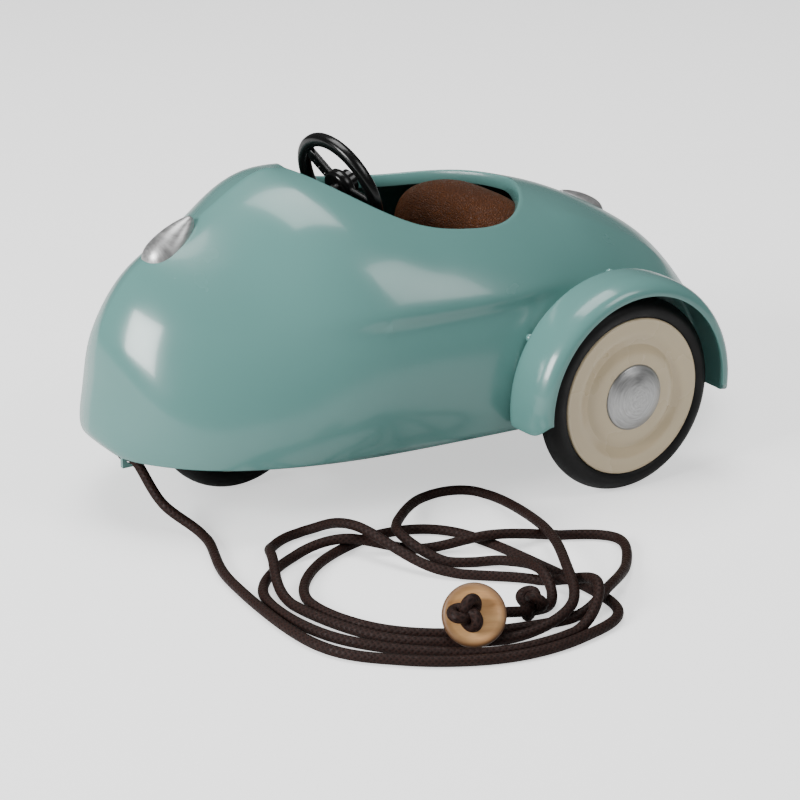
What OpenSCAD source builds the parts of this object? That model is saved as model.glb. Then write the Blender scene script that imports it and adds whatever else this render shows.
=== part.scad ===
// Small pull-along tricar for dolls, in the form of a streamlined pedal car.
// Frame: X to the car's left, nose towards -Y, Z up, the tyres stand on Z = 0.

/* [Body] */
// Height of the body's lower edge above the ground
sill_z = 15; // [14:0.5:17]
// Thickness of the pressed shell
shell_wall = 1; // [0.8:0.1:1.4]
// Depth of the lip that is turned down round the cockpit
lip_depth = 2.4; // [1.5:0.1:3.5]
// Factor on the body's widths
body_width_factor = 1; // [0.85:0.01:1.02]
// Factor on the body's heights above the lower edge
body_height_factor = 1; // [0.9:0.01:1.2]

/* [Cockpit] */
// Front end of the cockpit opening
cockpit_front_y = -29.5; // [-33:0.5:-27]
// Rear end of the cockpit opening
cockpit_rear_y = 25.5; // [22:0.5:30]
// Greatest half width of the opening
cockpit_half_w = 24.2; // [18:0.1:25]

/* [Wheels] */
// Radius of the rear tyres
rear_tyre_r = 20.4; // [18:0.1:21]
// Radius of the front tyre
front_tyre_r = 17.9; // [15:0.1:19]
// Width of a tyre
tyre_w = 6.2; // [5:0.1:7]
// Depth of the tyre outside the disc's edge
tyre_depth = 3.9; // [3:0.1:5]
// Thickness of the sheet that the discs are pressed from
disc_sheet = 0.6; // [0.4:0.1:0.9]
// Distance from the middle of the car to the middle of a rear tyre
half_track = 44; // [43:0.5:47]
// Place of the rear axle along the car
rear_axle_y = 23.5; // [20:0.5:27]
// Place of the front axle along the car
front_axle_y = -42.5; // [-46:0.5:-40]
// Radius of the axles
axle_r = 1.5; // [1:0.1:1.8]
// Radial clearance of a wheel's hub on its axle
axle_clearance = 0.06; // [0.03:0.01:0.1]
// Radius of the hub caps
hub_cap_r = 6.9; // [5:0.1:8]
// Height of the dome of a hub cap
hub_cap_dome = 2; // [1:0.1:3]

/* [Fenders] */
// Gap between a rear tyre and the fender's lip, measured along the radius
fender_gap = 1.5; // [1:0.1:2.5]
// Height of the fender's crown above its lip
fender_crown = 3; // [2:0.1:4]
// Thickness of the fender's sheet
fender_wall = 0.9; // [0.7:0.1:1.3]
// Overhang of the fender's lip beyond the tyre's outer side
fender_overhang = 2.3; // [1:0.1:4]

/* [Steering] */
// Radius of the steering wheel, outside the rim
steering_r = 12.2; // [10:0.1:14]
// Radius of the rim's section
steering_rim_r = 1.35; // [1:0.05:1.8]
// Tilt of the column above the horizontal
column_tilt = 21; // [10:1:35]
// Turn of the column to the right, seen from above
column_yaw = 6; // [0:1:8]
// Radius of the steering shaft
shaft_r = 1.3; // [1:0.1:1.8]
// Length of the steering shaft
shaft_len = 25; // [23:1:30]

/* [Seat] */
// Height of the top of the seat back
seat_back_top = 55; // [50:0.5:56]
// Thickness of the seat cushion
seat_cushion_t = 7; // [5:0.5:9]
// Half width of the seat
seat_half_w = 24; // [18:0.5:25]

/* [Pull cord] */
// Diameter of the waxed cord
cord_d = 2; // [1.6:0.1:2.4]
// Diameter of the wooden button
button_d = 11.4; // [9:0.1:14]
// Thickness of the button
button_t = 2.4; // [1.5:0.1:3]

/* [Hidden] */
$fn = 64;

// The body is a row of hoops from nose to tail. Each one springs from the lower edge, rises
// to the crown on the centre line and comes down on the other side:
// [half width at the lower edge, its place along Y, the crown's place, the crown's rise]
HOOPS = [
    [0, -72.3, -72.4, 0],
    [9.5, -71.4, -74.6, 4],
    [18, -66, -73.2, 13.2],
    [25, -58, -71, 24.4],
    [30, -48, -63.5, 34.6],
    [33.5, -36.5, -49.6, 42],
    [35.5, -24.5, -33.5, 50],
    [37, -8.5, -12, 47.5],
    [38, 7.5, 5.5, 44.5],
    [37.5, 23.5, 26, 40],
    [35, 37.5, 40, 35],
    [30.5, 50.5, 55, 26.5],
    [23, 62.5, 65.5, 16.5],
    [12, 72, 72.6, 7.5],
    [0, 74.7, 74.7, 0]
];
// The hoops' form from nose to tail: [exponent of the width, exponent of the height, bulge]
FORM = [
    [1.25, 0.95, -0.07],
    [1.4, 1.35, 0.03],
    [1.05, 0.92, 0.12],
    [0.92, 1.2, 0.02],
    [1.25, 1.35, -0.08]
];
LAST_HOOP = len(HOOPS) - 1;
SECTION_STEPS = 12;
AHEAD_STEPS = 14;
COCKPIT_STEPS = 18;
BEHIND_STEPS = 12;
SHELL_FIRST = 0.25;
SHELL_LAST = 13.75;
cockpit_middle_y = (cockpit_front_y + cockpit_rear_y) / 2;
cockpit_half_len = (cockpit_rear_y - cockpit_front_y) / 2;

// The hoops at which the cockpit opening begins and ends
cockpit_first = hoop_at(cockpit_front_y, 4, 8);
cockpit_last = hoop_at(cockpit_rear_y, 7, 12);

// The pull cord's way over the ground from behind the tow tab to the end knot: [x, y, z]
CORD_ROUTE = [
    [-1.8, -65.9, 11.2], [3.5, -66.1, 10.8], [12, -65.2, 5.2], [22, -61.5, 1], [42, -66.9, 1],
    [72, -67.1, 1], [86, -57.5, 1],
    [95, -42, 1], [96, -26, 1], [90, -13.8, 1], [68, -14.6, 1], [46.5, -19.6, 1], [39.5, -32, 1],
    [44.5, -49, 1], [56.5, -59, 1], [72, -55.5, 1], [83, -43.5, 1], [89, -24, 1], [86, -12.8, 3.2],
    [76, -0.5, 1], [66, 5.2, 1], [59, -3, 1], [55.5, -17, 3.2], [49.2, -29.8, 1],
    [41.6, -41.8, 3.2], [39.5, -52, 1], [51, -64.8, 1], [73, -62.5, 1], [91, -45, 1],
    [93.7, -26, 1], [86.5, -15.8, 5.4], [73, -18.8, 1], [59.5, -32.5, 1.5], [42, -39.7, 5.6],
    [31, -43.5, 1.5], [33, -52.5, 1], [42.3, -58, 3.6], [57, -62.3, 1], [78, -54.9, 1],
    [89.3, -38, 1], [88.8, -23.5, 3.3], [77, -15.8, 5.5], [58, -7.2, 3.9], [34, -3.8, 1],
    [28.8, -14.5, 1], [39.8, -28.2, 3.3], [47.6, -32.4, 3.7], [57, -28.5, 1], [63.5, -20, 1.6],
    [74.5, -19.4, 3.8], [83, -24, 1.2], [85.5, -39.5, 4.8]
];
cord_r = cord_d / 2;

rear_axle_z = rear_tyre_r;
front_axle_z = front_tyre_r;
rear_disc_r = rear_tyre_r - tyre_depth;
front_disc_r = front_tyre_r - tyre_depth;
hub_half_len = 3;
hub_shoulder_r = 4;
hub_collar_r = 2.6;
disc_seat = 2.2;
disc_crown = 0.2;
disc_groove = 0.5;
side_gap = 0.3;
nut_t = 0.5;
nut_r = 3;
axle_end_reach = 0.25;
spacer_r = 2.4;
tongue_depth = 2.8;

pan_t = 1;
pan_z = sill_z + 0.3;
pan_top = pan_z + pan_t;
bracket_t = 1;
foot_len = 6;
rear_bracket_x = 30;
rear_bracket_half_w = 6;
front_bracket_x = 6.5;
front_bracket_half_w = 5;
axle_cover = 3.2;
wheel_slot_half_w = front_bracket_x + bracket_t + nut_t + axle_end_reach + 0.4;
wheel_slot_half_len = front_tyre_r + 1.4;

screw_r = 1;
screw_head_r = 2;
screw_head_t = 0.9;
screw_y = [-19, 40];
screw_x = [29, 27];
tab_half_w = 3;
tab_end_x = [35.5 * body_width_factor, 33.5 * body_width_factor];

tow_tab_w = 4.2;
tow_tab_y = -65.9;
tow_tab_t = 1;
tow_tab_drop = 6;
tow_foot_len = 4.5;
tow_hole_r = cord_r + 0.3;
tow_hole_z = 11.2;
tow_rivet_r = 0.9;
tow_knot_r = 2.1;
button_lean = 30;

steering_centre = [0, -16.5, 59.4];
spoke_w = 3;
spoke_t = 1.2;
spoke_turn = 30;
steering_hub_r = 3.6;
steering_hub_t = 2.6;
bush_at = -19;
bush_len = 6;
bush_r = 2.6;
bush_flange_r = 3.8;
bush_flange_t = 0.8;
collar_r = 3;
collar_t = 1.6;
column_clearance = 0.06;
yoke_x = 9;
yoke_y = -33.5;
yoke_half_w = 3;
yoke_top_z = 50;

seat_plate_t = 1;
seat_plate_z = 25;
seat_front_y = -8;
seat_rear_y = 26.2;
seat_foot_len = 4;
seat_rivet_x = 14;
seat_rivet_r = 0.8;
seat_leg_half_w = 20;

fender_x_lip = half_track + tyre_w / 2 + fender_overhang;
fender_x_in = 31.5;
fender_x_corner = 39.8;
fender_side_depth = 5.4;
fender_shoulder_x = half_track - 0.5;
fender_lip_r = rear_tyre_r + fender_gap;
fender_crown_r = fender_lip_r + fender_crown;
fender_drop = 8;

enamel = "#7fa5a0";
cream = "#c4b597";
silver = "#b4b4b4";
tyre_black = "#1c1c1c";
gloss_black = "#0c0c0c";
zinc = "#a8adb0";
leather = "#7a4520";
cord_brown = "#3a2723";
nylon = "#e4e0d4";

// One value or vector between b and c on a Catmull-Rom curve through a, b, c and d
function between(a, b, c, d, u) =
    0.5 * (2 * b + (c - a) * u + (2 * a - 5 * b + 4 * c - d) * u * u + (3 * b - a - 3 * c + d) * u * u * u);

// The curve through the rows of a list, at t rows from its start
function along(rows, t) =
    let (n = len(rows), i = min(floor(t), n - 2))
    between(
        i > 0 ? rows[i - 1] : 2 * rows[0] - rows[1],
        rows[i],
        rows[i + 1],
        i + 2 < n ? rows[i + 2] : 2 * rows[n - 1] - rows[n - 2],
        t - i
    );

// A point of the body: t hoops from the nose, at angle a round the hoop, inset from the outside
function body_point(t, a, inset) =
    let (
        hoop = along(HOOPS, t),
        form = along(FORM, t * (len(FORM) - 1) / LAST_HOOP),
        rise = pow(sin(a), form[1]),
        width = max(0, hoop[0] * body_width_factor - inset),
        height = max(0, hoop[3] * body_height_factor - inset),
        forward = inset * cos(180 * t / LAST_HOOP)
    )
    [
        width * (sign(cos(a)) * pow(abs(cos(a)), form[0]) + form[2] * sin(2 * a)),
        hoop[1] + (hoop[2] - hoop[1]) * rise + forward,
        sill_z + height * rise
    ];

// Half width of the cockpit opening at a place along Y: rounded in front, drawn out behind
function opening_half_w(y) =
    let (u = (y - cockpit_middle_y) / cockpit_half_len)
    abs(u) < 1 ? cockpit_half_w * pow(1 - pow(abs(u), 2.4), u < 0 ? 0.75 : 0.78) : 0;

// The hoop whose crown is at a place along Y, found by halving
function hoop_at(y, low, high, halvings = 14) =
    let (middle = (low + high) / 2)
    halvings == 0 ? middle
        : along(HOOPS, middle)[2] < y ? hoop_at(y, middle, high, halvings - 1)
        : hoop_at(y, low, middle, halvings - 1);

// The angle round a hoop where it meets the cockpit opening, found by halving
function edge_angle(t, low = 10, high = 90, halvings = 14) =
    let (middle = (low + high) / 2, p = body_point(t, middle, 0))
    halvings == 0 ? middle
        : p[0] > opening_half_w(p[1]) ? edge_angle(t, middle, high, halvings - 1)
        : edge_angle(t, low, middle, halvings - 1);

// One half of a shell section: up the outside, round the cockpit's turned-down lip and down
// the inside. Ahead of the cockpit and behind it, the lip's points are left out of the skin.
function shell_section(t, angle) =
    let (
        edge = body_point(t, angle, 0),
        away = [edge[0] / pow(cockpit_half_w, 2), (edge[1] - cockpit_middle_y) / pow(cockpit_half_len, 2), 0],
        out = shell_wall * away / norm(away),
        outside = [for (j = [0 : SECTION_STEPS]) body_point(t, angle * j / SECTION_STEPS, 0)],
        inside = [for (j = [SECTION_STEPS - 1 : -1 : 0]) body_point(t, angle * j / SECTION_STEPS, shell_wall)],
        lip = [edge - [0, 0, lip_depth], edge + out - [0, 0, lip_depth]],
        seam = angle < 90 || t == cockpit_first || t == cockpit_last
            ? edge + out - [0, 0, shell_wall]
            : body_point(t, 90, shell_wall)
    )
    concat(outside, lip, [seam], inside);

// The pressed shell as one solid: two mirrored halves that share the points on the centre line
module shell_form() {
    n = SECTION_STEPS;
    row = 2 * n + 4;
    open_from = AHEAD_STEPS;
    open_to = AHEAD_STEPS + COCKPIT_STEPS;
    last = open_to + BEHIND_STEPS;
    places = concat(
        [for (k = [0 : AHEAD_STEPS - 1]) SHELL_FIRST + (cockpit_first - SHELL_FIRST) * k / AHEAD_STEPS],
        [cockpit_first],
        [for (k = [1 : COCKPIT_STEPS - 1])
            cockpit_first + (cockpit_last - cockpit_first) * (1 - cos(180 * k / COCKPIT_STEPS)) / 2],
        [cockpit_last],
        [for (k = [1 : BEHIND_STEPS]) cockpit_last + (SHELL_LAST - cockpit_last) * k / BEHIND_STEPS]
    );
    half = [
        for (i = [0 : last])
            each shell_section(places[i], i > open_from && i < open_to ? edge_angle(places[i]) : 90)
    ];
    points = concat(half, [for (p = half) [-p[0], p[1], p[2]]]);

    // Index of point c of section i on a side; the centre line's points belong to the left
    function at(side, i, c) =
        (side == 1 && !(c >= n && c <= n + 3 && (i <= open_from || i >= open_to)) ? len(half) : 0) + i * row + c;
    function face(side, a, b, c, d) =
        side == 0 ? [[a, b, c], [a, c, d]] : [[c, b, a], [d, c, a]];
    function has_skin(i, c) = c < n || c > n + 2 || (i >= open_from && i < open_to);

    skin = [
        for (side = [0, 1]) for (i = [0 : last - 1]) for (c = [0 : row - 1]) if (has_skin(i, c))
            let (d = (c + 1) % row)
            each face(side, at(side, i, c), at(side, i + 1, c), at(side, i + 1, d), at(side, i, d))
    ];
    ends = [
        for (side = [0, 1]) for (j = [0 : n - 1]) each concat(
            face(side, at(side, 0, j), at(side, 0, j + 1), at(side, 0, row - 2 - j), at(side, 0, row - 1 - j)),
            face(
                1 - side, at(side, last, j), at(side, last, j + 1),
                at(side, last, row - 2 - j), at(side, last, row - 1 - j)
            )
        )
    ];
    polyhedron(points, concat(skin, ends), convexity = 8);
}

// A cylinder along X, centred at a place along the axle
module bar_x(r, length, x = 0) {
    translate([x, 0, 0]) rotate([0, 90, 0]) cylinder(r = r, h = length, center = true);
}

module at_rear_axle() {
    translate([0, rear_axle_y, rear_axle_z]) children();
}

module at_front_axle() {
    translate([0, front_axle_y, front_axle_z]) children();
}

// Children at the left as drawn, or mirrored to the right
module on_side(side) {
    mirror([side < 0 ? 1 : 0, 0, 0]) children();
}

// Children along the steering column, whose +Z points at the driver
module on_column(along_axis = 0) {
    translate(steering_centre) rotate([0, 0, column_yaw]) rotate([column_tilt - 90, 0, 0])
        translate([0, 0, along_axis]) children();
}

module body_shell() {
    color(enamel) difference() {
        shell_form();
        at_rear_axle() rotate([0, 90, 0]) cylinder(r = spacer_r + side_gap, h = 100, center = true, $fn = 24);
    }
}

// Section of a fender: distance from the axle and place along X
module fender_section() {
    shoulder_w = fender_x_lip - fender_shoulder_x;
    outer = [for (a = [90 : -15 : 0]) [
        fender_lip_r + fender_crown * sin(a), fender_shoulder_x + shoulder_w * cos(a)
    ]];
    inner = [for (a = [0 : 15 : 90]) [
        fender_lip_r + (fender_crown - fender_wall) * sin(a),
        fender_shoulder_x + (shoulder_w - fender_wall) * cos(a)
    ]];
    corner = [fender_crown_r, fender_x_corner];
    side_foot = corner - [fender_side_depth, fender_x_corner - fender_x_in];
    polygon(concat(
        [side_foot, corner - [1.5, 2.2], corner - [0.4, 1]], [corner], outer, inner,
        [corner - [fender_wall, -0.3], corner - [1.5 + fender_wall, 1.6]],
        [side_foot - [fender_wall, 0]]
    ));
}

module fender(side) {
    color(enamel) on_side(side) at_rear_axle() rotate([0, 90, 0]) rotate([0, 0, 90 - fender_drop])
        rotate_extrude(angle = 180 + 2 * fender_drop) fender_section();
}

// A teardrop boss sunk into the body's crown: its round end, its tip and their radii
module teardrop(round_at, round_r, tip_at, tip_r) {
    color(silver) hull() {
        translate(round_at) sphere(r = round_r, $fn = 32);
        translate(tip_at) sphere(r = tip_r, $fn = 16);
    }
}

module headlamp() {
    teardrop([0, -57.3, 50.4], 4.2, [0, -49.6, 57.6], 0.6);
}

module tail_lamp() {
    teardrop([0, 47, 44], 3.6, [0, 39.4, 50], 0.5);
}

// Outline of the floor pan, which fills the body between its lower edges
function pan_edge() = [
    for (t = [1.6 : 0.4 : LAST_HOOP - 1.2])
        let (p = body_point(t, 0, shell_wall * 0.8)) [p[0], p[1]]
];

module floor_pan() {
    left_edge = pan_edge();
    right_edge = [for (i = [len(left_edge) - 1 : -1 : 0]) [-left_edge[i][0], left_edge[i][1]]];
    color(enamel) difference() {
        translate([0, 0, pan_z]) linear_extrude(pan_t) polygon(concat(left_edge, right_edge));
        translate([-wheel_slot_half_w, front_axle_y - wheel_slot_half_len, pan_z - 1])
            cube([2 * wheel_slot_half_w, 2 * wheel_slot_half_len, pan_t + 2]);
        translate([-tow_tab_t / 2 - 0.2, tow_tab_y - tow_tab_w / 2 - 0.2, pan_z - 1])
            cube([tow_tab_t + 0.4, tow_tab_w + 0.4, pan_t + 2]);
        translate([-tow_foot_len / 2, tow_tab_y, pan_z - 1]) cylinder(r = tow_rivet_r, h = pan_t + 2);
        for (x = [-seat_rivet_x, seat_rivet_x]) translate([x, seat_front_y - seat_foot_len / 2, pan_z - 1])
            cylinder(r = seat_rivet_r, h = pan_t + 2);
        for (side = [-1, 1]) for (i = [0, 1])
            translate([side * screw_x[i], screw_y[i], pan_z - 1]) cylinder(r = screw_r, h = pan_t + 2);
    }
}

module mounting_tabs() {
    color(enamel) for (side = [-1, 1]) for (i = [0, 1]) on_side(side) difference() {
        translate([screw_x[i] - tab_half_w, screw_y[i] - tab_half_w, pan_top])
            cube([tab_end_x[i] - screw_x[i] + tab_half_w, 2 * tab_half_w, pan_t]);
        translate([screw_x[i], screw_y[i], pan_top - 1]) cylinder(r = screw_r, h = pan_t + 2);
    }
}

module floor_screws() {
    color(zinc) for (side = [-1, 1]) for (i = [0, 1]) translate([side * screw_x[i], screw_y[i], 0]) {
        translate([0, 0, pan_z - screw_head_t]) cylinder(r = screw_head_r, h = screw_head_t);
        translate([0, 0, pan_z - screw_head_t / 2]) cylinder(r = screw_r, h = 2 * pan_t + screw_head_t / 2 + 1);
    }
}

module tow_tab() {
    color(enamel) difference() {
        union() {
            translate([-tow_tab_t / 2, tow_tab_y - tow_tab_w / 2, pan_z - tow_tab_drop])
                cube([tow_tab_t, tow_tab_w, tow_tab_drop + pan_t + pan_t]);
            translate([-tow_foot_len, tow_tab_y - tow_tab_w / 2, pan_top])
                cube([tow_foot_len, tow_tab_w, pan_t]);
        }
        translate([0, tow_tab_y, tow_hole_z]) rotate([0, 90, 0]) cylinder(r = tow_hole_r, h = 4, center = true);
        translate([-tow_foot_len / 2, tow_tab_y, pan_top - 1]) cylinder(r = tow_rivet_r, h = 3);
    }
}

module tow_rivet() {
    color(zinc) translate([-tow_foot_len / 2, tow_tab_y, 0]) {
        translate([0, 0, pan_z - 0.6]) cylinder(r = 1.6, h = 0.6);
        translate([0, 0, pan_z - 0.3]) cylinder(r = tow_rivet_r, h = 2 * pan_t + 0.6);
        translate([0, 0, pan_top + pan_t]) cylinder(r = 1.6, h = 0.6);
    }
}

// An L-shaped bracket that stands on the floor pan and holds an axle in its upright
module axle_bracket(x, y, z, half_w, bottom) {
    color(zinc) difference() {
        union() {
            translate([x, y - half_w, bottom]) cube([bracket_t, 2 * half_w, z + axle_cover - bottom]);
            translate([x, y - half_w, pan_top]) cube([foot_len, 2 * half_w, bracket_t]);
        }
        translate([0, y, z]) bar_x(axle_r, 10, x);
        translate([x + bracket_t, y, z]) rotate([0, 90, 0]) cylinder(r = nut_r + 0.6, h = 10);
    }
}

module rear_bracket(side) {
    on_side(side)
        mirror([1, 0, 0]) axle_bracket(
            -rear_bracket_x - bracket_t, rear_axle_y, rear_axle_z, rear_bracket_half_w, pan_top
        );
}

module front_bracket(side) {
    on_side(side) axle_bracket(
        front_bracket_x, front_axle_y, front_axle_z, front_bracket_half_w, front_axle_z - axle_cover
    );
}

module rear_axle() {
    color(zinc) at_rear_axle()
        bar_x(axle_r, 2 * (half_track + hub_half_len + side_gap + nut_t + axle_end_reach));
}

module front_axle() {
    color(zinc) at_front_axle()
        bar_x(axle_r, 2 * (front_bracket_x + bracket_t + nut_t + axle_end_reach));
}

// A sleeve on the axle between two places along X
module sleeve(x0, x1, r, bore) {
    difference() {
        bar_x(r, x1 - x0, (x0 + x1) / 2);
        bar_x(bore, x1 - x0 + 2, (x0 + x1) / 2);
    }
}

module rear_spacers() {
    color(nylon) at_rear_axle() for (side = [-1, 1]) on_side(side)
        sleeve(rear_bracket_x + bracket_t, half_track - hub_half_len - side_gap, spacer_r, axle_r);
}

module front_spacers() {
    color(nylon) at_front_axle() for (side = [-1, 1]) on_side(side)
        sleeve(hub_half_len + side_gap, front_bracket_x, spacer_r, axle_r);
}

module rear_push_nuts() {
    nut_x = half_track + hub_half_len + side_gap;
    color(zinc) at_rear_axle() for (side = [-1, 1]) on_side(side)
        sleeve(nut_x, nut_x + nut_t, nut_r, axle_r);
}

module front_push_nuts() {
    nut_x = front_bracket_x + bracket_t;
    color(zinc) at_front_axle() for (side = [-1, 1]) on_side(side)
        sleeve(nut_x, nut_x + nut_t, nut_r, axle_r);
}

// A tyre round the X axis, with the tongue that its discs grip
module tyre(r) {
    half_w = tyre_w / 2;
    bead_r = r - tyre_depth;
    color(tyre_black) rotate([0, 90, 0]) rotate_extrude($fn = 96) {
        difference() {
            translate([r - half_w, 0]) circle(r = half_w, $fn = 48);
            translate([bead_r - tyre_w, -half_w]) square([tyre_w, tyre_w]);
        }
        translate([bead_r - tongue_depth, -disc_seat]) square([tongue_depth + 0.5, 2 * disc_seat]);
    }
}

// A pressed wheel disc whose face looks towards +X: a raised middle, a groove and a raised rim
module wheel_disc(r) {
    face = disc_seat + disc_sheet;
    front = [
        [hub_collar_r, face + disc_crown], [r - 6.6, face + disc_crown], [r - 5.4, face - disc_groove],
        [r - 4.2, face - disc_groove], [r - 3, face], [r - 0.7, face], [r, face - 0.3]
    ];
    back = [
        [r, disc_seat], [r - 3, disc_seat], [r - 4.2, disc_seat - disc_groove],
        [r - 5.4, disc_seat - disc_groove], [r - 6.6, disc_seat + disc_crown],
        [hub_collar_r, disc_seat + disc_crown]
    ];
    color(cream) rotate([0, 90, 0]) rotate_extrude($fn = 96) polygon(concat(front, back));
}

module wheel_hub() {
    color(nylon) difference() {
        union() {
            bar_x(hub_collar_r, 2 * hub_half_len);
            bar_x(hub_shoulder_r, 2 * (disc_seat + disc_crown));
        }
        bar_x(axle_r + axle_clearance, 2 * hub_half_len + 2);
    }
}

// A domed cap on the outer disc, with its rim on the disc's middle
module hub_cap() {
    seat_x = disc_seat + disc_sheet + disc_crown;
    sheet = 0.4;
    dome_r = (hub_cap_r * hub_cap_r + hub_cap_dome * hub_cap_dome) / (2 * hub_cap_dome);
    color(silver) translate([seat_x, 0, 0]) rotate([0, 90, 0]) difference() {
        intersection() {
            translate([0, 0, hub_cap_dome - dome_r]) sphere(r = dome_r, $fn = 96);
            cylinder(r = hub_cap_r, h = hub_cap_dome + 1);
        }
        translate([0, 0, hub_cap_dome - dome_r]) sphere(r = dome_r - sheet, $fn = 96);
    }
}

module at_rear_wheel(side) {
    on_side(side) at_rear_axle() translate([half_track, 0, 0]) children();
}

module steering_wheel() {
    rim_centre_r = steering_r - steering_rim_r;
    color(gloss_black) on_column() difference() {
        union() {
            rotate_extrude($fn = 96) translate([rim_centre_r, 0]) circle(r = steering_rim_r, $fn = 32);
            for (a = [-75, 75, 180]) rotate([0, 0, a + spoke_turn + 180])
                translate([-spoke_w / 2, 0, -spoke_t / 2]) cube([spoke_w, rim_centre_r, spoke_t]);
            translate([0, 0, -steering_hub_t / 2]) cylinder(r = steering_hub_r, h = steering_hub_t);
        }
        cylinder(r = shaft_r, h = 20, center = true);
    }
}

module steering_shaft() {
    color(zinc) on_column(-shaft_len) cylinder(r = shaft_r, h = shaft_len + steering_hub_t / 2 + 1.2);
}

module steering_nut() {
    color(gloss_black) on_column(steering_hub_t / 2) difference() {
        cylinder(r = 2.4, h = 1.6);
        translate([0, 0, -1]) cylinder(r = shaft_r, h = 2.2);
    }
}

module shaft_collar() {
    color(zinc) on_column(bush_at - bush_flange_t - side_gap - collar_t) difference() {
        cylinder(r = collar_r, h = collar_t);
        translate([0, 0, -1]) cylinder(r = shaft_r, h = collar_t + 2);
    }
}

module column_bush() {
    color(nylon) on_column(bush_at) difference() {
        union() {
            cylinder(r = bush_r, h = bush_len);
            translate([0, 0, -bush_flange_t]) cylinder(r = bush_flange_r, h = bush_flange_t);
        }
        translate([0, 0, -2]) cylinder(r = shaft_r + column_clearance, h = bush_len + 4);
    }
}

// A yoke that stands on the floor pan over the front wheel and carries the column's bush
module column_bracket() {
    color(zinc) difference() {
        union() {
            for (side = [-1, 1]) on_side(side) translate([yoke_x, yoke_y - yoke_half_w, pan_top]) {
                cube([bracket_t, 2 * yoke_half_w, yoke_top_z - pan_top]);
                cube([foot_len, 2 * yoke_half_w, bracket_t]);
            }
            on_column(bush_at) translate([-yoke_x - 3 * bracket_t, -4, 0])
                cube([2 * yoke_x + 4 * bracket_t, 9, bracket_t]);
        }
        on_column(bush_at) cylinder(r = bush_r, h = 10, center = true);
    }
}

// A plate bent down to the floor pan at the front and at the rear, where it also runs up
module seat_base() {
    length = seat_rear_y - seat_front_y;
    left = -seat_leg_half_w;
    width = 2 * seat_leg_half_w;
    color(zinc) difference() {
        union() {
            translate([left, seat_front_y, seat_plate_z - seat_plate_t]) cube([width, length, seat_plate_t]);
            translate([left, seat_front_y, pan_top]) cube([width, seat_plate_t, seat_plate_z - pan_top]);
            translate([left, seat_front_y - seat_foot_len, pan_top])
                cube([width, seat_foot_len + seat_plate_t, seat_plate_t]);
            translate([left, seat_rear_y - seat_plate_t, pan_top]) cube([width, seat_plate_t, 21]);
        }
        for (x = [-seat_rivet_x, seat_rivet_x]) translate([x, seat_front_y - seat_foot_len / 2, pan_top - 1])
            cylinder(r = seat_rivet_r, h = 3);
    }
}

module seat_rivets() {
    color(zinc) for (x = [-seat_rivet_x, seat_rivet_x]) translate([x, seat_front_y - seat_foot_len / 2, 0]) {
        translate([0, 0, pan_z - 0.5]) cylinder(r = 1.5, h = 0.5);
        translate([0, 0, pan_z - 0.3]) cylinder(r = seat_rivet_r, h = pan_t + seat_plate_t + 0.6);
        translate([0, 0, pan_top + seat_plate_t]) cylinder(r = 1.5, h = 0.5);
    }
}

module seat_cushion() {
    edge = seat_cushion_t / 2;
    reach = seat_half_w - edge - 1;
    color(leather) hull() for (x = [-reach, reach]) for (y = [seat_front_y + edge, 0.5])
        translate([x, y, seat_plate_z + edge]) sphere(r = edge, $fn = 24);
}

// A thick bolster that stands on the seat plate, narrower at the top
module seat_back() {
    foot_r = 10;
    top_r = 9;
    color(leather) hull() for (side = [-1, 1]) {
        translate([side * (seat_half_w - foot_r - 1.5), 14.9, seat_plate_z + foot_r]) sphere(r = foot_r, $fn = 32);
        translate([side * 6, 14.2, seat_back_top - top_r]) sphere(r = top_r, $fn = 32);
    }
}

// A tube along a list of points, with its first and last rings closed
module cord_tube(path, r, sides = 8) {
    n = len(path);
    rings = [
        for (i = [0 : n - 1])
            let (
                ahead = path[min(i + 1, n - 1)] - path[max(i - 1, 0)],
                forward = ahead / norm(ahead),
                level = cross([0, 0, 1], forward),
                aside = level / norm(level),
                above = cross(forward, aside)
            )
            for (k = [0 : sides - 1])
                path[i] + r * (aside * cos(360 * k / sides) + above * sin(360 * k / sides))
    ];
    skin = [
        for (i = [0 : n - 2]) for (k = [0 : sides - 1])
            let (next = (k + 1) % sides)
            [i * sides + k, i * sides + next, (i + 1) * sides + next, (i + 1) * sides + k]
    ];
    first = [for (k = [sides - 1 : -1 : 0]) k];
    last = [for (k = [0 : sides - 1]) (n - 1) * sides + k];
    polyhedron(rings, concat(skin, [first, last]), convexity = 10);
}

// The cord has a ring at each point of its route, and one between points that are far apart
module pull_cord() {
    last = len(CORD_ROUTE) - 1;
    places = concat(
        [for (i = [0 : last - 1]) each norm(CORD_ROUTE[i + 1] - CORD_ROUTE[i]) > 13 ? [i, i + 0.5] : [i]],
        [last - 0.001]
    );
    path = [for (t = places) let (p = along(CORD_ROUTE, t)) [p[0], p[1], max(p[2], cord_r)]];
    color(cord_brown) cord_tube(path, cord_r);
}

// A tied knot, as a plump ring with a core
module knot(r) {
    color(cord_brown) union() {
        rotate_extrude($fn = 32) translate([r * 0.55, 0]) circle(r = r * 0.45, $fn = 24);
        cylinder(r = r * 0.55, h = r * 0.7, center = true);
    }
}

module tow_knot() {
    translate([-tow_tab_t / 2 - tow_knot_r * 0.5, tow_tab_y, tow_hole_z]) rotate([0, 90, 0]) knot(tow_knot_r);
}

module fender_rivets() {
    color(enamel) for (side = [-1, 1]) on_side(side) at_rear_axle() for (a = [35, 90, 145])
        rotate([90 - a, 0, 0]) translate([38, 0, fender_crown_r - 1.2 * fender_wall]) sphere(r = 0.9, $fn = 16);
}

module end_knot() {
    translate([83.9, -28.5, tow_knot_r * 0.95]) rotate([75, 0, 10]) knot(tow_knot_r);
}

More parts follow.
